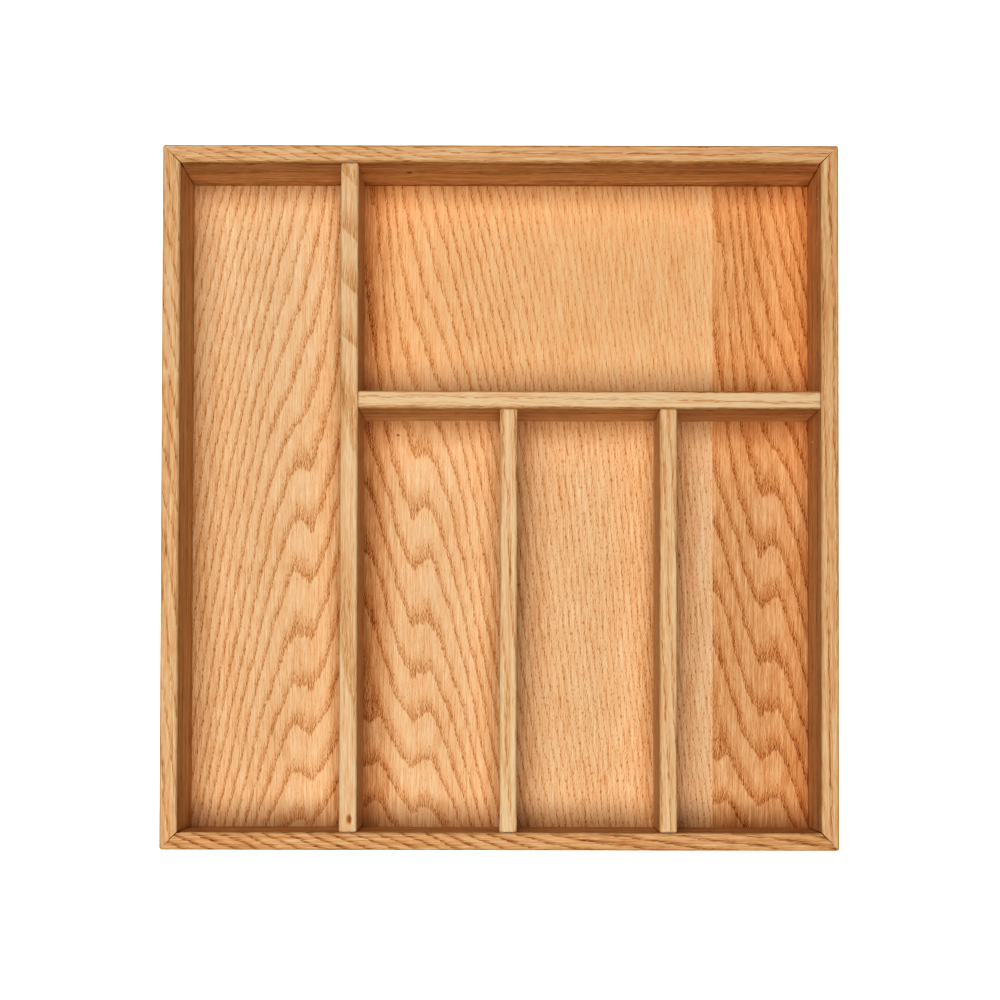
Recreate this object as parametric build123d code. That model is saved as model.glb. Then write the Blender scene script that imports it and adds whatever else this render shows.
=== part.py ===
from build123d import *
import os

# Oak drawer organizer insert. Four mitred rails stand around a veneered bottom panel, and
# four dividers make five open compartments. Millimetres, +Z up, +Y to the back, +X to the
# right. The origin is the middle of the underside.

# Overall size
WIDTH = 450.0
DEPTH = 469.0
HEIGHT = 50.0

# Solid oak stock, the same for rails and dividers
STOCK = 12.0
ARRIS = 1.5              # radius on the rails' top edges and round the dividers' tops and ends
CORNER_RADIUS = 2.0      # outer vertical corners
FOOT_ARRIS = 0.8         # outer bottom edges

# Bottom panel: a core with veneer on both faces, let into a rebate in the rails
PANEL = 6.0
VENEER = 0.6
REBATE = 6.0             # how far the rebate reaches under each rail
PANEL_CLEARANCE = 0.25   # between the panel's edge and the rebate
VENEER_SEAMS = [-95.5, 147.0]

# Compartments, measured between faces
LEFT_BAY = 106.7         # width of the long compartment
BACK_BAY = 152.0         # depth of the wide compartment
FRONT_BAY = 94.1         # width of the first two front compartments; the third is the rest

# Mitres: closed at the outer corner, slightly open at the inner one
MITRE_OPENING = 0.5

# Loose spline glued across each mitre
SPLINE_WIDTH = 8.0
SPLINE_THICKNESS = 3.0
SPLINE_HEIGHT = 34.0
SPLINE_INSET = 7.0       # its middle, in from both outer faces

# Two dowels at each end of each divider
DOWEL_RADIUS = 3.0
DOWEL_IN_DIVIDER = 16.0
DOWEL_IN_SIDE = 8.0
DOWEL_CHAMFER = 0.7
DOWEL_HEIGHTS = [18.0, 37.0]

# Glue films around hidden joinery
GLUE_FILM = 0.05
GLUE_WELL = 0.5          # spare depth at the end of a dowel hole

# Worked out from the sizes above
INNER_WIDTH = WIDTH - 2 * STOCK
INNER_DEPTH = DEPTH - 2 * STOCK
PANEL_WIDTH = INNER_WIDTH + 2 * (REBATE - PANEL_CLEARANCE)
PANEL_DEPTH = INNER_DEPTH + 2 * (REBATE - PANEL_CLEARANCE)
LONG_X = -INNER_WIDTH / 2 + LEFT_BAY + STOCK / 2
CROSS_Y = INNER_DEPTH / 2 - BACK_BAY - STOCK / 2
FRONT_START = LONG_X + STOCK / 2
SHORT_X = [
    FRONT_START + FRONT_BAY + STOCK / 2,
    FRONT_START + 2 * FRONT_BAY + STOCK * 3 / 2,
]

# Each rail: the turn about Z that brings it from the back to its side, its length and how
# far apart the outer faces of it and its opposite rail are
RAILS = {
    "back_rail": (0, WIDTH, DEPTH),
    "left_rail": (90, DEPTH, WIDTH),
    "front_rail": (180, WIDTH, DEPTH),
    "right_rail": (270, DEPTH, WIDTH),
}

# Each divider: its two ends in plan
DIVIDERS = {
    "long_divider": ((LONG_X, -INNER_DEPTH / 2), (LONG_X, INNER_DEPTH / 2)),
    "cross_divider": ((LONG_X + STOCK / 2, CROSS_Y), (INNER_WIDTH / 2, CROSS_Y)),
    "short_divider_left": ((SHORT_X[0], -INNER_DEPTH / 2), (SHORT_X[0], CROSS_Y - STOCK / 2)),
    "short_divider_right": ((SHORT_X[1], -INNER_DEPTH / 2), (SHORT_X[1], CROSS_Y - STOCK / 2)),
}

# Each dowelled joint: the middle of its face in plan, and the way the divider's end points
DOWEL_JOINTS = {
    "dowels_long_divider_back": (LONG_X, INNER_DEPTH / 2, 90),
    "dowels_long_divider_front": (LONG_X, -INNER_DEPTH / 2, 270),
    "dowels_cross_divider_left": (LONG_X + STOCK / 2, CROSS_Y, 180),
    "dowels_cross_divider_right": (INNER_WIDTH / 2, CROSS_Y, 0),
    "dowels_short_divider_left_back": (SHORT_X[0], CROSS_Y - STOCK / 2, 90),
    "dowels_short_divider_left_front": (SHORT_X[0], -INNER_DEPTH / 2, 270),
    "dowels_short_divider_right_back": (SHORT_X[1], CROSS_Y - STOCK / 2, 90),
    "dowels_short_divider_right_front": (SHORT_X[1], -INNER_DEPTH / 2, 270),
}

# Each mitre: which outer corner it is at
MITRES = {
    "mitre_spline_back_left": (-1, 1),
    "mitre_spline_back_right": (1, 1),
    "mitre_spline_front_left": (-1, -1),
    "mitre_spline_front_right": (1, -1),
}

STANDING = (Align.CENTER, Align.CENTER, Align.MIN)


def slab(x_low, x_high, depth, z_low, z_high):
    """A flat box centred on Y, such as one layer of the bottom panel."""
    middle = Pos((x_low + x_high) / 2, 0, z_low)
    return middle * Box(x_high - x_low, depth, z_high - z_low, align=STANDING)


def rail_frame():
    """The four rails before they are cut apart: rounded outside, hollow, rebated below."""
    frame = Box(WIDTH, DEPTH, HEIGHT, align=STANDING)
    frame = fillet(frame.edges().filter_by(Axis.Z), CORNER_RADIUS)
    frame = fillet(frame.edges().group_by(Axis.Z)[0], FOOT_ARRIS)
    frame -= slab(-INNER_WIDTH / 2, INNER_WIDTH / 2, INNER_DEPTH, 0, HEIGHT)
    frame -= slab(
        -INNER_WIDTH / 2 - REBATE, INNER_WIDTH / 2 + REBATE, INNER_DEPTH + 2 * REBATE, 0, PANEL
    )
    return fillet(frame.edges().group_by(Axis.Z)[-1], ARRIS)


def mitred_space(turn, length, across):
    """The space that one rail keeps of the frame, with its mitre faces a little back."""
    reach = STOCK * 1.5
    set_back = MITRE_OPENING / 2 * 2**0.5 / STOCK
    inner_half = length / 2 - reach * (1 + set_back)
    plan = Polyline(
        (-length / 2, across / 2),
        (length / 2, across / 2),
        (inner_half, across / 2 - reach),
        (-inner_half, across / 2 - reach),
        close=True,
    )
    return Rot(0, 0, turn) * extrude(make_face(plan), HEIGHT)


def spline(corner, film=0.0):
    """The loose spline across one mitre, or with a film its pocket."""
    x_side, y_side = corner
    middle = Pos(
        x_side * (WIDTH / 2 - SPLINE_INSET),
        y_side * (DEPTH / 2 - SPLINE_INSET),
        (HEIGHT + PANEL) / 2,
    )
    turned = Rot(0, 0, -45 * x_side * y_side)
    return middle * turned * Box(
        SPLINE_WIDTH + 2 * film, SPLINE_THICKNESS + 2 * film, SPLINE_HEIGHT + 2 * film
    )


def dowel(joint, height):
    """One chamfered dowel across a divider's end."""
    x, y, turn = joint
    pin = Cylinder(DOWEL_RADIUS, DOWEL_IN_DIVIDER + DOWEL_IN_SIDE, align=STANDING)
    pin = chamfer(pin.edges().filter_by(GeomType.CIRCLE), DOWEL_CHAMFER)
    return Pos(x, y, height) * Rot(0, 0, turn) * Rot(0, 90, 0) * Pos(0, 0, -DOWEL_IN_DIVIDER) * pin


def dowel_hole(joint, height):
    """The hole for one dowel, a glue film wider and a glue well deeper at both ends."""
    x, y, turn = joint
    start = DOWEL_IN_DIVIDER + GLUE_WELL
    hole = Cylinder(DOWEL_RADIUS + GLUE_FILM, start + DOWEL_IN_SIDE + GLUE_WELL, align=STANDING)
    return Pos(x, y, height) * Rot(0, 0, turn) * Rot(0, 90, 0) * Pos(0, 0, -start) * hole


def dowel_holes():
    """Every dowel hole in the insert."""
    return [dowel_hole(joint, height) for joint in DOWEL_JOINTS.values() for height in DOWEL_HEIGHTS]


def rail(name, frame):
    """One mitred rail, with its spline pockets and dowel holes."""
    piece = frame & mitred_space(*RAILS[name])
    pockets = [spline(corner, GLUE_FILM) for corner in MITRES.values()]
    return piece - pockets - dowel_holes()


def divider(name):
    """One divider: a plank on edge, rounded round its top and down its ends, with dowel holes."""
    (x0, y0), (x1, y1) = DIVIDERS[name]
    plank = Box(abs(x1 - x0) or STOCK, abs(y1 - y0) or STOCK, HEIGHT - PANEL, align=STANDING)
    rounded = plank.edges().group_by(Axis.Z)[-1] + plank.edges().filter_by(Axis.Z)
    plank = fillet(rounded, ARRIS)
    return Pos((x0 + x1) / 2, (y0 + y1) / 2, PANEL) * plank - dowel_holes()


def face_veneers():
    """The leaves of oak veneer that the compartments' floors show, edge to edge."""
    edges = [-PANEL_WIDTH / 2, *VENEER_SEAMS, PANEL_WIDTH / 2]
    names = ["face_veneer_left", "face_veneer_middle", "face_veneer_right"]
    return {
        name: slab(low, high, PANEL_DEPTH, PANEL - VENEER, PANEL)
        for name, low, high in zip(names, edges, edges[1:])
    }


def insert():
    """Every piece of the insert by its node's name."""
    frame = rail_frame()
    pieces = {name: rail(name, frame) for name in RAILS}
    pieces |= {name: spline(corner) for name, corner in MITRES.items()}
    pieces |= {name: divider(name) for name in DIVIDERS}
    pieces |= {
        name: Compound([dowel(joint, height) for height in DOWEL_HEIGHTS])
        for name, joint in DOWEL_JOINTS.items()
    }
    half = PANEL_WIDTH / 2
    pieces["bottom_core"] = slab(-half, half, PANEL_DEPTH, VENEER, PANEL - VENEER)
    pieces["backing_veneer"] = slab(-half, half, PANEL_DEPTH, 0, VENEER)
    return pieces | face_veneers()


os.makedirs("parts", exist_ok=True)
for node, shape in insert().items():
    export_step(shape, f"parts/{node}.step")
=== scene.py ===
"""Looks for the oak drawer organizer insert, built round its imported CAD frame.

The rails and dividers are remodelled here as hand-sanded boards of the same size, and small
beads of dried glue are added at the joints. Every surface gets a wood whose growth rings, pores
and fibres are worked out from the place in the wood. Lengths in the materials and in the pieces'
shapes are millimetres; Blender's own are metres.
"""

import math

import bpy
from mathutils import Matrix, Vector, noise


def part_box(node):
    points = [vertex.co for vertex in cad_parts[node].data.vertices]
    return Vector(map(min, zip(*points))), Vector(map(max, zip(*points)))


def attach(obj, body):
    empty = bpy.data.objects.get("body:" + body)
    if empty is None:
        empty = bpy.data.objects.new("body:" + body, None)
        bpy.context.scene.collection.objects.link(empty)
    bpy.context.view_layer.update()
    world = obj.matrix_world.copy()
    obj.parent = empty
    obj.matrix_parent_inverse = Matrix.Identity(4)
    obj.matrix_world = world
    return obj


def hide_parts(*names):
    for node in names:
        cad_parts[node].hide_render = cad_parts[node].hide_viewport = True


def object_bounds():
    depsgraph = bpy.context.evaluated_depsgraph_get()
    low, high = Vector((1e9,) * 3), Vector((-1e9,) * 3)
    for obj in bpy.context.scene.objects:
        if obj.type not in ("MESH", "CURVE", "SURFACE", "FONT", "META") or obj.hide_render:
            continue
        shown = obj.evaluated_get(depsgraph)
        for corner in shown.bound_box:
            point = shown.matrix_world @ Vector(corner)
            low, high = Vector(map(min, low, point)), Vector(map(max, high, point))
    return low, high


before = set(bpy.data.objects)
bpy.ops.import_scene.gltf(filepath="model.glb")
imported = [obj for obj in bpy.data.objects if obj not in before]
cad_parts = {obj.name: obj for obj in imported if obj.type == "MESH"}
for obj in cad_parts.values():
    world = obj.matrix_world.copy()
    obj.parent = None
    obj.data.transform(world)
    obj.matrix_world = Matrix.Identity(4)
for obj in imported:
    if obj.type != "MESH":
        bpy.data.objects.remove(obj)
CAD_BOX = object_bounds()
MM = 0.001

# ---------------------------------------------------------------- sizes read from the frame

LOW, HIGH = (Vector(corner) / MM for corner in CAD_BOX)
WIDTH, DEPTH, HEIGHT = HIGH - LOW


def node_box(name):
    """A CAD node's lowest and highest corners, in millimetres."""
    return tuple(Vector(corner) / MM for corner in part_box(name))


PANEL_TOP = node_box("face_veneer_middle")[1].z
STOCK = node_box("long_divider")[1].x - node_box("long_divider")[0].x
SEAM_LEFT = node_box("face_veneer_middle")[0].x
SEAM_RIGHT = node_box("face_veneer_middle")[1].x
REBATE = STOCK / 2
ARRIS = 1.5              # radius along the boards' top edges
CORNER = 2.0             # radius of the outer vertical corners
FOOT = 0.8               # radius of the outer bottom edges
MITRE_OPENING = 0.5
SANDING = 0.10           # the most that hand sanding takes off a face

LONG = node_box("long_divider")
CROSS = node_box("cross_divider")
SHORT_LEFT = node_box("short_divider_left")
SHORT_RIGHT = node_box("short_divider_right")
LEFT, RIGHT = -WIDTH / 2 + STOCK, WIDTH / 2 - STOCK
FRONT, BACK = -DEPTH / 2 + STOCK, DEPTH / 2 - STOCK
BAYS = [
    (LEFT, LONG[0].x, FRONT, BACK),
    (LONG[1].x, RIGHT, CROSS[1].y, BACK),
    (LONG[1].x, SHORT_LEFT[0].x, FRONT, CROSS[0].y),
    (SHORT_LEFT[1].x, SHORT_RIGHT[0].x, FRONT, CROSS[0].y),
    (SHORT_RIGHT[1].x, RIGHT, FRONT, CROSS[0].y),
]


# ---------------------------------------------------------------- shader sums as plain maths


class Num:
    """A socket in a node tree that adds, multiplies and compares like a number."""

    def __init__(self, tree, socket):
        self.tree = tree
        self.socket = socket

    def apply(self, operation, *others, clamp=False):
        node = self.tree.nodes.new("ShaderNodeMath")
        node.operation = operation
        node.use_clamp = clamp
        for place, value in enumerate((self, *others)):
            feed(self.tree, node.inputs[place], value)
        return Num(self.tree, node.outputs[0])

    def __add__(self, other):
        return self.apply("ADD", other)

    def __sub__(self, other):
        return self.apply("SUBTRACT", other)

    def __mul__(self, other):
        return self.apply("MULTIPLY", other)

    def __truediv__(self, other):
        return self.apply("DIVIDE", other)

    def __neg__(self):
        return self.apply("MULTIPLY", -1.0)

    __radd__ = __add__
    __rmul__ = __mul__

    def __rsub__(self, other):
        return -self + other

    def __rtruediv__(self, other):
        return self.apply("POWER", -1.0) * other

    def root(self):
        return self.apply("SQRT")

    def fraction(self):
        return self.apply("FRACT")

    def size(self):
        return self.apply("ABSOLUTE")

    def clamped(self):
        return self.apply("ADD", 0.0, clamp=True)


def feed(tree, socket, value):
    """Links a Num into a socket, or sets the socket to a plain number."""
    if isinstance(value, Num):
        tree.links.new(value.socket, socket)
    else:
        socket.default_value = value


def ramp_up(value, start, end):
    """0 below start, 1 above end, smooth between. start may be the larger."""
    node = value.tree.nodes.new("ShaderNodeMapRange")
    node.interpolation_type = "SMOOTHSTEP"
    for name, number in (("Value", value), ("From Min", start), ("From Max", end)):
        feed(value.tree, node.inputs[name], number)
    return Num(value.tree, node.outputs["Result"])


def hinge(value, bend, softness):
    """0 below bend and value - bend above it, with a soft corner."""
    past = value - bend
    return (past + (past * past + 4 * softness * softness).root()) * 0.5


def bell(value, middle, width):
    """A smooth bump, 1 at its middle."""
    far = (value - middle) / width
    return 1.0 / (far * far + 1.0).apply("POWER", 2.0)


def vector(x, y, z):
    """A vector socket put together from three numbers."""
    tree = next(value.tree for value in (x, y, z) if isinstance(value, Num))
    node = tree.nodes.new("ShaderNodeCombineXYZ")
    for place, value in enumerate((x, y, z)):
        feed(tree, node.inputs[place], value)
    return Num(tree, node.outputs[0])


SEED_STEP = (7.31, 3.17, 5.73)  # how far each seed moves the noise


def grainy(place, size, seed, detail=2.0, roughness=0.5):
    """Noise from 0 to 1 whose lumps have the given size along each of place's axes."""
    x, y, z = (
        value / length + seed * step for value, length, step in zip(place, size, SEED_STEP)
    )
    node = x.tree.nodes.new("ShaderNodeTexNoise")
    node.inputs["Scale"].default_value = 1.0
    node.inputs["Detail"].default_value = detail
    node.inputs["Roughness"].default_value = roughness
    x.tree.links.new(vector(x, y, z).socket, node.inputs["Vector"])
    return Num(x.tree, node.outputs["Fac"])


def place_in_wood(tree):
    """The place of the shaded point in the frame, as three numbers in millimetres."""
    coordinates = tree.nodes.new("ShaderNodeTexCoord")
    split = tree.nodes.new("ShaderNodeSeparateXYZ")
    tree.links.new(coordinates.outputs["Object"], split.inputs[0])
    return [Num(tree, socket) * (1 / MM) for socket in split.outputs]


def linear(red, green, blue):
    """An sRGB colour, 0 to 255, as linear light with full opacity."""
    levels = (red / 255, green / 255, blue / 255)
    light = [v / 12.92 if v <= 0.04045 else ((v + 0.055) / 1.055) ** 2.4 for v in levels]
    return (*light, 1.0)


# ---------------------------------------------------------------- oak

# Each wood's colours by tone, from 0 pale to 1 dark
VENEER_TONES = [(0.0, (255, 234, 200)), (0.35, (245, 205, 158)), (0.6, (225, 168, 111)),
                (0.85, (203, 133, 69)), (1.0, (158, 95, 47))]
BOARD_TONES = [(0.0, (255, 227, 187)), (0.35, (243, 192, 138)), (0.6, (214, 157, 100)),
               (0.85, (180, 113, 56)), (1.0, (116, 66, 30))]
BACKING_TONES = [(0.0, (240, 211, 173)), (0.5, (218, 180, 135)), (1.0, (160, 116, 76))]
BEECH_TONES = [(0.0, (242, 213, 180)), (0.5, (229, 193, 156)), (1.0, (193, 150, 112))]
CORE_TONES = [(0.0, (197, 165, 128)), (0.5, (175, 141, 104)), (1.0, (131, 102, 74))]

# Colours the wood is multiplied by: a tint with the painted shade along the foot of the walls, a
# golden tone away from the front, and a cooler tint with the painted shade on the boards' sides
CORNER_SHADE_TINT = (0.92, 0.97, 1.0)
GOLDEN_STAIN = (1.06, 0.96, 0.84)
SIDE_SHADE_TINT = (0.93, 1.02, 1.06)

# How pores show: their width and length, how far above a ring's start they crowd and how much
# more there, how dark the band, the loose pores and the crowded pores are, and the streaks' width
# and strength
VENEER_LOOK = {"pore": 0.75, "pore_length": 2.6, "reach": 0.55, "crowding": 0.11, "band": 0.20,
               "loose": 0.14, "crowd": 0.06, "streak": (5.0, 0.24)}
BOARD_LOOK = {"pore": 0.8, "pore_length": 8.0, "reach": 0.45, "crowding": 0.12, "band": 0.19,
              "loose": 0.07, "crowd": 0.09, "streak": (2.6, 0.60)}
PORE_LEVEL = 0.62        # how high the pores' noise has to rise for a pore
PORE_EDGE = 0.05         # how softly a pore ends
FIBRE = 0.62             # strength of the long fibres, of the short ones and of the clouds
HAIR = 0.50
CLOUD = 0.14
EMBOSSING = 0.12         # depth of pores and fibres
SHEEN = 0.15

# The crown-cut figure: its last crown, the distance between crowns and where the first one is
LAST_CROWN = 45.0
CROWN_SPACING = 38.0
FIRST_CROWN = 0.27
# Bends in a ring's line across the leaf: the turn there, how much more of it away from the front
# end, which way it is counted, where it starts and how soft it is
RING_BENDS = [
    (0.9, 2.6, -1, -25.0, 4.0),
    (-1.4, -1.2, -1, -10.0, 2.5),
    (-2.2, 0.0, 1, 57.0, 5.0),
    (-2.4, 0.0, 1, 67.0, 5.0),
    (-1.4, 0.0, 1, 100.0, 10.0),
    (-3.0, 0.0, 1, 150.0, 15.0),
]
# The notch and the peak beside it, then a bump near the front end: rise, place and width
RING_BUMPS = [(-6.0, 34.5, 5.0), (12.0, 47.5, 10.0)]
FRONT_BUMP = (9.0, 12.5, 7.0)
PALE_EDGE = 232.0        # where the middle leaf turns paler, across it
PIN_KNOT = (-71.0, 48.7, PANEL_TOP, 0.9)
KNOT_DARKNESS = 0.6
CORNER_SHADE_REACH = 20.0      # how far from the walls the painted shade on the floor reaches


def wood_shader(material, tone, tones, roughness, height, bump_mm, tints_and_painted_shades=()):
    """Colours a material by tone, from 0 pale to 1 dark, and roughens and embosses it.

    Each of the tints is a share, 1 where it is strongest, and a colour it multiplies by. Some of
    them go with painted shade.
    """
    tree = material.node_tree
    shader = tree.nodes["Principled BSDF"]
    ramp = tree.nodes.new("ShaderNodeValToRGB")
    stops = ramp.color_ramp.elements
    while len(stops) < len(tones):
        stops.new(0.5)
    for stop, (position, colour) in zip(stops, tones):
        stop.position = position
        stop.color = linear(*colour)
    feed(tree, ramp.inputs["Fac"], tone)
    colour = ramp.outputs["Color"]
    for share, tint in tints_and_painted_shades:
        mix = tree.nodes.new("ShaderNodeMixRGB")
        mix.blend_type = "MULTIPLY"
        feed(tree, mix.inputs["Fac"], share)
        tree.links.new(colour, mix.inputs["Color1"])
        mix.inputs["Color2"].default_value = (*tint, 1.0)
        colour = mix.outputs["Color"]
    tree.links.new(colour, shader.inputs["Base Color"])
    feed(tree, shader.inputs["Roughness"], roughness)
    bump = tree.nodes.new("ShaderNodeBump")
    bump.inputs["Strength"].default_value = 1.0
    bump.inputs["Distance"].default_value = bump_mm * MM
    feed(tree, bump.inputs["Height"], height)
    tree.links.new(bump.outputs["Normal"], shader.inputs["Normal"])
    shader.inputs["Specular IOR Level"].default_value = SHEEN


def new_material(name):
    material = bpy.data.materials.new(name)
    material.use_nodes = True
    return material


def figure_rings(u, v):
    """Ring number on a crown-cut leaf, u across it from its figured edge and v towards the back.

    The rings point to the back in crowns with a notch beside their peak. They run out to the
    right into steep lines that lie closer and closer together, and past the last crown all of
    them turn steep.
    """
    past = hinge(v, LAST_CROWN, 12.0)
    crowned = ramp_up(v, LAST_CROWN + 35.0, LAST_CROWN)
    upper = ramp_up(v, -150.0, -95.0)
    contour = -0.65 * u
    for turn, more, way, bend, softness in RING_BENDS:
        contour = contour + (turn + more * upper) * hinge(u * way, bend, softness)
    for rise, middle, width in RING_BUMPS:
        contour = contour + rise * crowned * bell(u, middle, width)
    rise, middle, width = FRONT_BUMP
    contour = contour + rise * (1.0 - upper) * bell(u, middle, width)
    # Past the last crown, how many rings a millimetre along the leaf crosses
    to_peak = hinge(u, 10.0, 4.0) - hinge(u, 47.0, 6.0)
    past_peak = hinge(u, 47.0, 6.0) - hinge(u, 80.0, 6.0)
    rate = 0.010 + 0.00044 * to_peak + 0.0004 * past_peak
    # Near the front end the crowns lie closer together
    closer = 0.007 * hinge(-v, 110.0, 10.0)
    return (v - past - contour) / CROWN_SPACING + past * rate - closer + FIRST_CROWN


def oak_tone(place, seed, rings, look, strength=1.0):
    """Tone of the oak, the depth of its pores and fibres, and where the pores are.

    place is across, along and through the wood. The pores crowd above each ring's start and
    thin out over a share of the ring, and each has a painted highlight, a pale lip at one side,
    as if light caught its rim. strength is how much the rings show.
    """
    across, along, through = place
    phase = rings.fraction()
    band = ramp_up(phase, look["reach"], 0.05) * ramp_up(phase, 0.0, 0.05) * strength

    def streaks(wide, long, number, detail=2.0, aside=0.0):
        size = (wide, long, wide)
        return grainy((across + aside, along, through), size, seed + number, detail, 0.55)

    def open_pores(aside):
        grain = streaks(look["pore"], look["pore_length"], 3, aside=aside)
        crowding = look["crowding"] * band - PORE_LEVEL
        return ramp_up(grain + crowding, -PORE_EDGE, PORE_EDGE)

    pores = open_pores(0.0)
    # Painted highlight: a pale lip beside each pore, as if light caught its rim; it lightens the
    # tone below
    painted_pore_highlights = open_pores(-0.8 * look["pore"]) * (1.0 - pores)
    fibre = streaks(1.1, 30.0, 5) - 0.5
    hair = streaks(0.7, 9.0, 8, 1.0) - 0.5
    streak_width, streak_strength = look["streak"]
    streak = streaks(streak_width, 90.0, 6) - 0.5
    cloud = streaks(22.0, 80.0, 7) - 0.5
    tone = look["band"] * band + (look["loose"] + look["crowd"] * band) * pores
    tone = tone - (0.09 + 0.12 * band) * painted_pore_highlights
    tone = tone + FIBRE * fibre + HAIR * hair + streak_strength * streak + CLOUD * cloud
    depth = fibre * 0.6 + hair * 0.3 - pores * (0.4 + 0.6 * band)
    return tone, depth, pores


def speck(place, along, across, height, size):
    """1 in a small round spot, such as a pin knot."""
    far = [value - middle for value, middle in zip(place, (along, across, height))]
    distance = (far[0] * far[0] * 0.3 + far[1] * far[1] + far[2] * far[2]).root()
    return ramp_up(distance, size, size * 0.3)


def painted_corner_shade(x, y):
    """Painted shade: 1 along the foot of the walls, fading out towards the middle of each bay."""
    inside = None
    for low_x, high_x, low_y, high_y in BAYS:
        reach = (x - low_x).apply("MINIMUM", high_x - x)
        reach = reach.apply("MINIMUM", (y - low_y).apply("MINIMUM", high_y - y))
        inside = reach if inside is None else inside.apply("MAXIMUM", reach)
    return ramp_up(inside, CORNER_SHADE_REACH, -0.3 * CORNER_SHADE_REACH)


def crown_cut_veneer(name, seed, mirrored, edge, shift, darker, dark_edge_and_shade, pale_edge):
    """Oak veneer: the crown-cut figure, its pore bands, loose pores and fine fibre.

    edge is where the leaf's figured edge is, shift how far the figure is moved forwards and
    dark_edge_and_shade how much darker the floor is along that edge: partly a darker strip of the
    wood and partly painted shade beside the long divider.
    """
    material = new_material(name)
    x, y, z = place_in_wood(material.node_tree)
    u = edge - x if mirrored else x - edge
    v = y + shift
    place = (u, v, z)
    wander = grainy(place, (26.0, 60.0, 50.0), seed, 2.0) - 0.5
    ripple = grainy(place, (5.0, 16.0, 50.0), seed + 1, 2.0) - 0.5
    jitter = grainy(place, (1.1, 5.0, 50.0), seed + 2, 1.0) - 0.5
    rings = figure_rings(u, v) + wander * 0.7 + ripple * 0.30 + jitter * 0.15
    strength = 1.0 - 0.40 * ramp_up(u, 90.0, 130.0)
    front = ramp_up(v, 120.0, 20.0)
    tone, depth, pores = oak_tone(place, seed, rings, VENEER_LOOK, strength)
    # Painted shade along the foot of every wall: this share darkens the floor below and cools it
    # with a tint
    corners = painted_corner_shade(x, y)
    # The figured edge is darker: partly a darker strip of wood and partly painted shade beside the
    # long divider
    tone = tone + (0.20 + darker) + dark_edge_and_shade * ramp_up(u, 30.0, 4.0)
    tone = tone + 0.17 * corners + 0.06 * front
    tone = tone + 0.10 * front * ramp_up(u, 90.0, 130.0) * pores
    tints_and_painted_shades = [(corners, CORNER_SHADE_TINT)]
    if not mirrored:
        tints_and_painted_shades.append((1.0 - front, GOLDEN_STAIN))
    if pale_edge:
        tone = tone - 0.06 * ramp_up(u, PALE_EDGE - 1.0, PALE_EDGE + 1.0)
        tone = tone + KNOT_DARKNESS * speck((x, y, z), *PIN_KNOT)
    roughness = 0.52 + pores * 0.2
    wood_shader(material, tone.clamped(), VENEER_TONES, roughness, depth, EMBOSSING, tints_and_painted_shades)
    return material


def solid_oak(node_name, seed, pith, spacing, dives, wobble, darker=0.0, sides=0.12, heart=0.0,
              knots=(), **look):
    """Oak cut from the log as a board: growth rings round a pith line beside it.

    pith is how far the pith lies across and above the board's middle. dives are the stretches
    of the board where the rings run out through its top, each given by its start, its end and
    the rings' slope there. wobble is how far the rings wander, sides how much painted shade
    darkens the sides and rounded top edges below the top, and heart how much darker still their
    upper half is, a darker band in the wood. knots are small dark knots, each given by its place
    along, across and above the board's middle and its size. look holds what differs from
    BOARD_LOOK.
    """
    low, high = node_box(node_name)
    middle = (low + high) / 2
    lengthwise, crosswise = (0, 1) if high.x - low.x > high.y - low.y else (1, 0)
    material = new_material(f"oak_{node_name}")
    place = place_in_wood(material.node_tree)
    along = place[lengthwise]
    across = place[crosswise] - middle[crosswise]
    height = place[2] - HEIGHT / 2
    where = (along, across, height)
    slow = (grainy(where, (70.0, 160.0, 160.0), seed, 2.0) - 0.5) * wobble
    sway = (grainy(where, (24.0, 30.0, 30.0), seed + 1, 2.0) - 0.5) * (wobble * 0.4)
    jitter = (grainy(where, (9.0, 1.2, 1.2), seed + 2, 1.0) - 0.5) * 2.0
    aside = across - pith[0]
    above = height - pith[1]
    radius = (aside * aside + above * above).root() + slow + sway + jitter
    top = ramp_up(height, HEIGHT / 2 - ARRIS, HEIGHT / 2 - ARRIS / 2)
    for start, end, slope in dives:
        radius = radius + slope * top * (hinge(along, start, 8.0) - hinge(along, end, 8.0))
    # side is 1 on the board's sides and rounded top edges: the rings show less there, and it
    # carries their painted shade
    side = ramp_up(across.size(), STOCK / 2 - 1.9, STOCK / 2 - 0.8)
    strength = 1.0 - 0.35 * side
    wood_place = (across, along, height)
    tone, depth, pores = oak_tone(wood_place, seed, radius / spacing, BOARD_LOOK | look, strength)
    # Painted shade: sides and rounded top edges are darker by sides, with a cooler tint; heart adds
    # a darker band of wood in their upper half
    tone = tone + side * (sides + heart * ramp_up(height, -2.0, 8.0)) + (0.22 + darker)
    for knot in knots:
        tone = tone + KNOT_DARKNESS * speck(where, *knot)
    roughness = 0.50 + pores * 0.2
    tints_and_painted_shades = [(side, SIDE_SHADE_TINT)]
    wood_shader(material, tone.clamped(), BOARD_TONES, roughness, depth, EMBOSSING, tints_and_painted_shades)
    return material


def plain_wood(name, seed, along, tones, grain):
    """A close-grained wood or board with little figure, for the parts that hardly show."""
    material = new_material(name)
    place = place_in_wood(material.node_tree)
    size = [grain * 30 if axis == along else grain for axis in "XYZ"]
    fibre = grainy(place, size, seed, 3.0, 0.6)
    cloud = grainy(place, [length * 12 for length in size], seed + 1, 2.0)
    tone = fibre * 0.6 + cloud * 0.4
    wood_shader(material, tone.clamped(), tones, 0.6 + fibre * 0.1, fibre, 0.05)
    return material


# ---------------------------------------------------------------- boards


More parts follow.
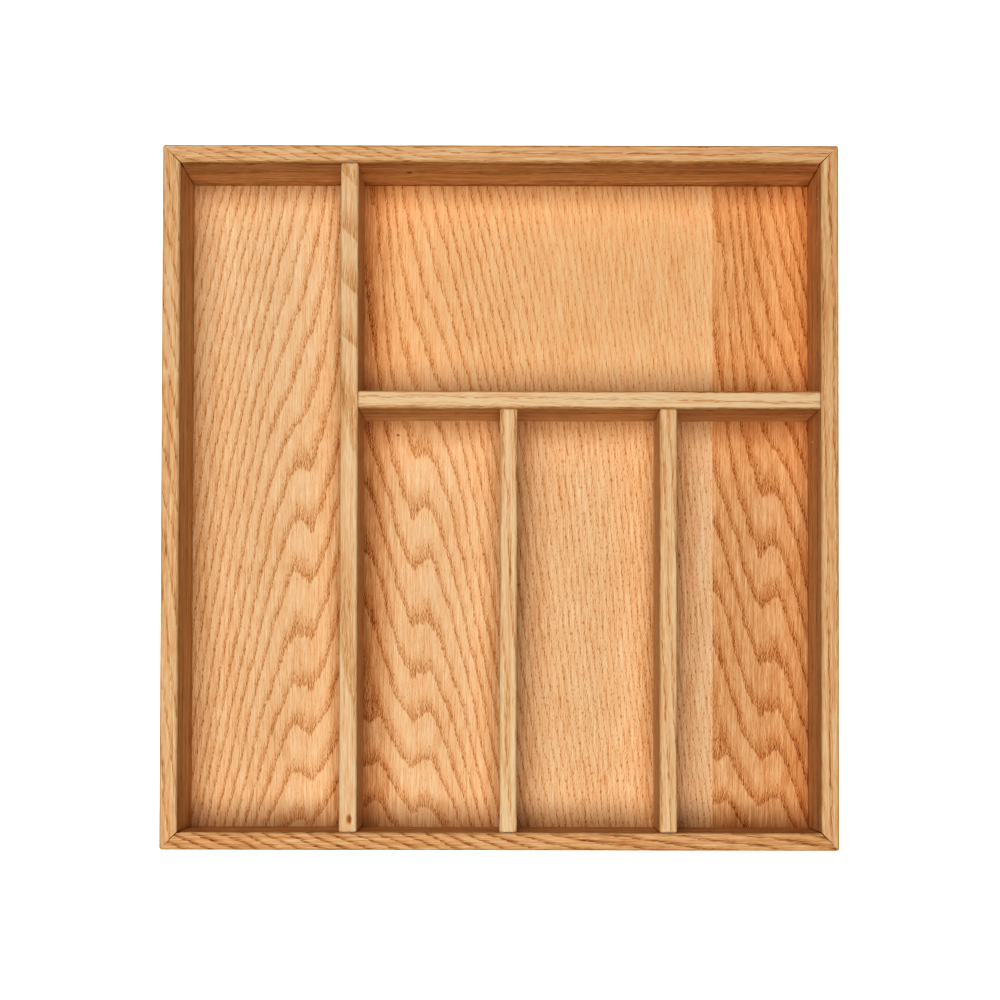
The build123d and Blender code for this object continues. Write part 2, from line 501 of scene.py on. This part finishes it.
def cuts(length, edge, fine, coarse):
    """Places along one axis of a board: close together near both ends, wider between."""
    near = [fine * step for step in range(int(round(edge / fine)) + 1)]
    count = max(1, round((length - 2 * edge) / coarse))
    middle = [edge + (length - 2 * edge) * step / count for step in range(1, count)]
    return near + middle + [length - distance for distance in reversed(near)]


def box_surface(xs, ys, zs):
    """The six sides of a box, cut at the given places, as welded vertices and quads."""
    grid = {}
    vertices = []
    faces = []

    def corner(i, j, k):
        if (i, j, k) not in grid:
            grid[i, j, k] = len(vertices)
            vertices.append((xs[i], ys[j], zs[k]))
        return grid[i, j, k]

    last = (len(xs) - 1, len(ys) - 1, len(zs) - 1)
    for axis in range(3):
        first, second = [other for other in range(3) if other != axis]
        for level in (0, last[axis]):
            for i in range(last[first]):
                for j in range(last[second]):
                    ring = []
                    for di, dj in ((0, 0), (1, 0), (1, 1), (0, 1)):
                        index = [0, 0, 0]
                        index[axis], index[first], index[second] = level, i + di, j + dj
                        ring.append(corner(*index))
                    outward = (level > 0) == (axis != 1)
                    faces.append(ring if outward else ring[::-1])
    return vertices, faces


def sanded(place, seed):
    """How far hand sanding has taken the surface down at a place, in millimetres."""
    x, y, z = place
    long_waves = noise.noise(Vector((x / 38, y / 38, z / 30 + seed * 9.1)))
    short_waves = noise.noise(Vector((x / 9, y / 9, z / 8 + seed * 4.3)))
    return SANDING * (0.5 + 0.35 * long_waves + 0.15 * short_waves)


def add_piece(name, vertices, faces, material):
    """Makes a smooth-shaded mesh piece in metres that rides on the frame."""
    mesh = bpy.data.meshes.new(name)
    mesh.from_pydata([Vector(vertex) * MM for vertex in vertices], [], faces)
    mesh.validate()
    mesh.polygons.foreach_set("use_smooth", [True] * len(mesh.polygons))
    mesh.materials.append(material)
    piece = bpy.data.objects.new(name, mesh)
    bpy.context.collection.objects.link(piece)
    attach(piece, "root")
    return piece


def round_edge(place, limits, radius):
    """Pulls a point of a box's surface in onto edges rounded to the radius.

    limits holds, for each axis, the lowest and highest value, or None where that side is sharp.
    """
    core = list(place)
    for axis, (low, high) in enumerate(limits):
        if low is not None:
            core[axis] = max(core[axis], low + radius)
        if high is not None:
            core[axis] = min(core[axis], high - radius)
    core = Vector(core)
    away = Vector(place) - core
    if away.length < 1e-9:
        return Vector(place)
    return core + away.normalized() * radius


def hand_radius(distance, seed):
    """The arris radius along a board, a little uneven as sanded by hand."""
    return ARRIS * (1 + 0.16 * noise.noise(Vector((distance / 45, seed * 3.7, 0))))


def rail_heights():
    """The levels a rail's box is cut at: close together where its edges are rounded."""
    foot = [FOOT * step / 4 for step in range(5)]
    beside_panel = [2.5, 4.3, PANEL_TOP]
    inner_face = [PANEL_TOP + (HEIGHT - 2 - PANEL_TOP) * step / 12 for step in range(1, 13)]
    top = [HEIGHT - 2 + 0.25 * step for step in range(1, 9)]
    return foot + beside_panel + inner_face + top


def rail_piece(name, turn, material, seed):
    """One mitred rail. It is modelled as the back rail of a frame, then turned to its side."""
    sideways = turn % 180 != 0
    length, across = (DEPTH, WIDTH) if sideways else (WIDTH, DEPTH)
    stations = cuts(length, 3.0, 0.25, 4.0)
    depths = cuts(STOCK, 2.0, 0.25, 2.0)
    vertices, faces = box_surface(stations, depths, rail_heights())
    shaped = [rail_point(vertex, length, across, seed) for vertex in vertices]
    angle = math.radians(turn)
    turned = [
        (x * math.cos(angle) - y * math.sin(angle), x * math.sin(angle) + y * math.cos(angle), z)
        for x, y, z in shaped
    ]
    piece = add_piece(name, turned, faces, material)
    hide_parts(name.removesuffix("_board"))
    return piece


def rail_profile(depth, z, radius):
    """Where a point of the rail's square section ends up: rounded edges and the rebate."""
    if z < PANEL_TOP and depth > STOCK - REBATE:
        return STOCK - REBATE, z
    if z > HEIGHT / 2:
        limits = ((None, None), (0.0, STOCK), (None, HEIGHT))
        return tuple(round_edge((0, depth, z), limits, radius))[1:]
    if z < FOOT and depth < FOOT:
        limits = ((None, None), (0.0, None), (0.0, None))
        return tuple(round_edge((0, depth, z), limits, FOOT))[1:]
    return depth, z


def rail_point(vertex, length, across, seed):
    """Where a point of the rail's box ends up. vertex is (station, depth, height)."""
    station, depth, z = vertex
    half = length / 2
    depth_round, z_round = rail_profile(depth, z, hand_radius(station, seed))
    set_back = MITRE_OPENING / 2 * math.sqrt(2) / STOCK
    side = 1 if station > half else -1
    to_end = min(station, length - station)
    lead = depth_round * (1 + set_back)
    from_corner = lead + to_end * (1 - lead / half)
    worn = sanded((station, depth * 3, z), seed)
    depth_round, from_corner = round_corner(depth_round, from_corner)
    if depth < STOCK / 2:
        depth_round += worn if z > FOOT else 0.0
    elif z > PANEL_TOP:
        depth_round -= worn
    if z >= HEIGHT - 0.01:
        z_round -= worn
    return side * (half - from_corner), across / 2 - depth_round, z_round


def round_corner(depth, from_corner):
    """Rounds the frame's outer vertical corner."""
    inset = min(depth, from_corner)
    if depth >= CORNER or from_corner >= CORNER:
        return depth, from_corner
    radius = CORNER - inset
    away = Vector((CORNER - depth, CORNER - from_corner))
    if away.length <= radius:
        return depth, from_corner
    pulled = away.normalized() * radius
    return CORNER - pulled.x, CORNER - pulled.y


def divider_piece(name, material, seed):
    """One divider: a plank on edge with a rounded top and rounded ends."""
    low, high = node_box(name)
    size = high - low
    lengthwise = 0 if size.x > size.y else 1
    spacing = [4.0 if axis == lengthwise else 2.0 for axis in (0, 1)]
    xs = cuts(size.x, 2.0, 0.25, spacing[0])
    ys = cuts(size.y, 2.0, 0.25, spacing[1])
    zs = [size.z * step / 12 * (1 - 2 / size.z) for step in range(13)]
    zs += [size.z - 2 + 0.25 * step for step in range(1, 9)]
    vertices, faces = box_surface(xs, ys, zs)
    shaped = []
    for vertex in vertices:
        radius = hand_radius(vertex[lengthwise], seed)
        limits = ((0.0, size.x), (0.0, size.y), (None, size.z))
        place = round_edge(vertex, limits, radius)
        worn = sanded(vertex, seed)
        thin = 1 - lengthwise
        if vertex[thin] < 0.01:
            place[thin] += worn
        elif vertex[thin] > size[thin] - 0.01:
            place[thin] -= worn
        if vertex[2] > size.z - 0.01:
            place[2] -= worn
        shaped.append(low + place)
    piece = add_piece(f"{name}_board", shaped, faces, material)
    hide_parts(name)
    return piece


# ---------------------------------------------------------------- glue


def ball_surface(around, rows):
    """A ball of radius 1 as points and faces, with that many faces around and from pole to pole."""
    vertices = [(0.0, 0.0, 1.0)]
    for row in range(1, rows):
        from_pole = math.pi * row / rows
        for step in range(around):
            turn = 2 * math.pi * step / around
            reach = math.sin(from_pole)
            vertices.append((reach * math.cos(turn), reach * math.sin(turn), math.cos(from_pole)))
    vertices.append((0.0, 0.0, -1.0))
    bottom = len(vertices) - 1
    faces = []
    for step in range(around):
        after = (step + 1) % around
        faces.append((0, 1 + step, 1 + after))
        for start in range(1, bottom - around, around):
            below = start + around
            faces.append((start + step, below + step, below + after, start + after))
        faces.append((bottom - around + step, bottom, bottom - around + after))
    return vertices, faces


def add_bead(name, middle, half_size, material, seed):
    """A small bead of dried glue: a ball stretched to half_size and a little lumpy."""
    ball, faces = ball_surface(24, 12)
    vertices = []
    for point in ball:
        swell = 1 + 0.25 * noise.noise(Vector(point) * 1.7 + Vector((seed * 5.1, 0, 0)))
        vertices.append([m + swell * v * h for m, v, h in zip(middle, point, half_size)])
    add_piece(name, vertices, faces, material)


def glue_material(name, colour):
    """Wood glue that has dried."""
    material = new_material(name)
    shader = material.node_tree.nodes["Principled BSDF"]
    shader.inputs["Base Color"].default_value = linear(*colour)
    shader.inputs["Roughness"].default_value = 0.45
    return material


# ---------------------------------------------------------------- put together

# What each board is cut from, as solid_oak takes it
BOARDS = {
    "back_rail": dict(seed=11, pith=(-145.0, -37.0), spacing=5.0, dives=[(-225.0, -50.0, 0.33)],
                      wobble=5.0, sides=0.19, heart=0.08,
                      knots=[(-62.0, -6.0, 6.0, 1.5), (-112.0, -6.0, -16.0, 1.2)]),
    "left_rail": dict(seed=23, pith=(-130.0, -75.0), spacing=5.5,
                      dives=[(-60.0, 235.0, 0.18), (-235.0, -60.0, 0.09)], wobble=6.0),
    "front_rail": dict(seed=37, pith=(-120.0, -60.0), spacing=5.0,
                       dives=[(-225.0, 20.0, 0.34), (20.0, 225.0, 0.12)], wobble=6.0,
                       darker=0.12, reach=0.55, band=0.30, knots=[(-212.0, 6.0, 24.5, 1.3)]),
    "right_rail": dict(seed=41, pith=(-150.0, -50.0), spacing=6.0, dives=[(-235.0, 235.0, 0.015)],
                       wobble=4.0, darker=0.02),
    "long_divider": dict(seed=53, pith=(-150.0, -60.0), spacing=32.0,
                         dives=[(70.0, 235.0, 0.9), (-235.0, 70.0, 0.18)], wobble=9.0,
                         darker=-0.10, sides=0.10, reach=0.7, band=0.20, loose=0.03, crowd=0.08,
                         knots=[(-214.0, 1.0, 24.5, 2.6)]),
    "cross_divider": dict(seed=61, pith=(-140.0, -60.0), spacing=5.0, dives=[(-95.0, 215.0, 0.01)],
                          wobble=3.0, darker=-0.21, sides=0.34, heart=0.12),
    "short_divider_left": dict(seed=73, pith=(-140.0, -50.0), spacing=7.0,
                               dives=[(-225.0, 60.0, 0.05)], wobble=6.0, darker=-0.11, sides=0.15),
    "short_divider_right": dict(seed=83, pith=(-140.0, -50.0), spacing=5.0,
                                dives=[(-225.0, 60.0, 0.04)], wobble=5.0, darker=-0.09, sides=0.15),
}
# Each rail and the turn that brings it from the back to its side
RAILS = {"back_rail": 0, "left_rail": 90, "front_rail": 180, "right_rail": 270}
DIVIDERS = ["long_divider", "cross_divider", "short_divider_left", "short_divider_right"]

board_oak = {name: solid_oak(name, **cut) for name, cut in BOARDS.items()}
for seed, (rail_name, turn) in enumerate(RAILS.items(), start=1):
    rail_piece(f"{rail_name}_board", turn, board_oak[rail_name], seed)
for seed, divider_name in enumerate(DIVIDERS, start=5):
    divider_piece(divider_name, board_oak[divider_name], seed)

# Glue that has come out of the joints: lines in the grooves at the dividers' ends, each given by
# its place and half its size in plan, then drops on the right rail's inner face. The lines' dark
# grey is partly the glue's own colour and partly painted shade of the grooves
GLUE_DEPTH = 1.3         # the lines' middle, below the boards' tops
GLUE_LINES = [
    ((LONG[0].x + STOCK / 2, FRONT), (3.6, 0.6)),
    ((LONG[0].x + STOCK / 2 + 1.0, BACK), (3.4, 0.6)),
    ((RIGHT, CROSS[0].y + STOCK / 2), (0.55, 3.8)),
    ((SHORT_LEFT[0].x + STOCK / 2, FRONT), (3.2, 0.55)),
    ((SHORT_RIGHT[0].x + STOCK / 2, FRONT), (3.9, 0.55)),
]
GLUE_DROPS = [(RIGHT, 202.5, 39.0), (RIGHT, 41.3, 22.0)]
LINE_HALF_HEIGHT = 0.6
DROP_HALF_SIZE = (0.35, 0.7, 0.5)
# The lines' blue-grey is partly glue and partly painted shade of the grooves they lie in
glue = glue_material("dark_glue_and_groove_shade", (116, 113, 120))
pale_glue = glue_material("pale_glue", (236, 232, 222))
for number, ((x, y), half_size) in enumerate(GLUE_LINES):
    place = (x, y, HEIGHT - GLUE_DEPTH)
    add_bead(f"glue_line_{number}", place, (*half_size, LINE_HALF_HEIGHT), glue, number)
for number, place in enumerate(GLUE_DROPS):
    add_bead(f"glue_drop_{number}", place, DROP_HALF_SIZE, pale_glue, number + 10)

NODE_MATERIALS = {
    "face_veneer_left": crown_cut_veneer(
        "veneer_left", 101, mirrored=True, edge=SEAM_LEFT, shift=9.0, darker=0.01,
        dark_edge_and_shade=0.20, pale_edge=False),
    "face_veneer_middle": crown_cut_veneer(
        "veneer_middle", 101, mirrored=False, edge=SEAM_LEFT, shift=0.0, darker=0.0,
        dark_edge_and_shade=0.20, pale_edge=True),
    "face_veneer_right": crown_cut_veneer(
        "veneer_right", 101, mirrored=False, edge=SEAM_RIGHT - 2.0, shift=26.0, darker=0.19,
        dark_edge_and_shade=0.0, pale_edge=False),
    "backing_veneer": plain_wood("backing_oak", 131, "Y", BACKING_TONES, 0.6),
    "bottom_core": plain_wood("fibreboard", 137, "Y", CORE_TONES, 0.8),
}
beech = plain_wood("beech", 139, "Z", BEECH_TONES, 0.5)
for node_name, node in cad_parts.items():
    if node_name in NODE_MATERIALS:
        node.material_slots[0].material = NODE_MATERIALS[node_name]
    elif node_name.startswith(("mitre_spline", "dowels")):
        node.material_slots[0].material = beech

# ---------------------------------------------------------------- floor, light and camera


FLOOR_REACH = 5.0
FLOOR_DROP = 0.0003      # how far the floor is below the insert
DOME_RADIUS = 7.2


def add_floor():
    """A white floor that glows enough to show no shadow round the insert."""
    mesh = bpy.data.meshes.new("studio_floor")
    corners = [(-1, -1), (1, -1), (1, 1), (-1, 1)]
    vertices = [(x * FLOOR_REACH, y * FLOOR_REACH, -FLOOR_DROP) for x, y in corners]
    mesh.from_pydata(vertices, [], [(0, 1, 2, 3)])
    material = new_material("studio_white")
    shader = material.node_tree.nodes["Principled BSDF"]
    shader.inputs["Base Color"].default_value = (0.5, 0.5, 0.5, 1.0)
    shader.inputs["Roughness"].default_value = 0.9
    shader.inputs["Emission Color"].default_value = (1.0, 1.0, 1.0, 1.0)
    shader.inputs["Emission Strength"].default_value = 1.0
    mesh.materials.append(material)
    floor = bpy.data.objects.new("studio_floor", mesh)
    bpy.context.collection.objects.link(floor)


def add_backdrop():
    """A white dome behind everything. Only the camera sees it, so it lights nothing."""
    ball, faces = ball_surface(48, 24)
    mesh = bpy.data.meshes.new("backdrop")
    mesh.from_pydata([Vector(point) * DOME_RADIUS for point in ball], [], faces)
    material = new_material("backdrop_white")
    shader = material.node_tree.nodes["Principled BSDF"]
    shader.inputs["Base Color"].default_value = (0.0, 0.0, 0.0, 1.0)
    shader.inputs["Emission Color"].default_value = (1.0, 1.0, 1.0, 1.0)
    shader.inputs["Emission Strength"].default_value = 1.0
    mesh.materials.append(material)
    backdrop = bpy.data.objects.new("backdrop", mesh)
    backdrop.visible_diffuse = False
    backdrop.visible_glossy = False
    backdrop.visible_transmission = False
    backdrop.visible_shadow = False
    bpy.context.collection.objects.link(backdrop)


def add_softbox(name, place, size, power):
    """A square light that faces the middle of the insert."""
    data = bpy.data.lights.new(name, "AREA")
    data.shape = "SQUARE"
    data.size = size
    data.energy = power
    light = bpy.data.objects.new(name, data)
    light.location = place
    light.rotation_euler = (Vector(place) - Vector((0, 0, 0.02))).to_track_quat("Z", "Y").to_euler()
    bpy.context.collection.objects.link(light)


def add_world(overhead, horizon):
    """A studio with one brightness overhead and another in a band round the horizon."""
    world = bpy.data.worlds.new("studio_fill")
    world.use_nodes = True
    tree = world.node_tree
    coordinates = tree.nodes.new("ShaderNodeTexCoord")
    split = tree.nodes.new("ShaderNodeSeparateXYZ")
    tree.links.new(coordinates.outputs["Generated"], split.inputs[0])
    height = Num(tree, split.outputs["Z"])
    strength = overhead + (horizon - overhead) * ramp_up(height, 0.12, 0.04)
    feed(tree, tree.nodes["Background"].inputs["Strength"], strength)
    tree.nodes["Background"].inputs["Color"].default_value = (1.0, 1.0, 1.0, 1.0)
    bpy.context.scene.world = world


def add_camera():
    """The camera: a short telephoto almost straight above, shifted to frame the insert."""
    data = bpy.data.cameras.new("camera")
    data.sensor_width = 36.0
    data.lens = 52.74
    data.shift_x = -0.0093
    data.shift_y = 0.1853
    data.clip_end = 50.0
    camera = bpy.data.objects.new("camera", data)
    camera.location = (0.0077, -0.1398, 1.0192)
    camera.rotation_mode = "ZYX"
    camera.rotation_euler = (math.radians(0.86), math.radians(0.07), math.radians(0.11))
    bpy.context.collection.objects.link(camera)
    bpy.context.scene.camera = camera


add_floor()
add_backdrop()
# Metres and watts
add_softbox("left_box", (-0.8, -0.1, 2.0), 0.8, 10.2)
add_softbox("back_box", (-0.1, 0.6, 2.0), 0.8, 13.2)
add_softbox("front_box", (0.1, -0.8, 2.0), 0.9, 19.4)
add_world(0.0, 0.4)
add_camera()
bpy.context.scene.view_settings.view_transform = "Standard"
bpy.context.scene.view_settings.gamma = 0.7
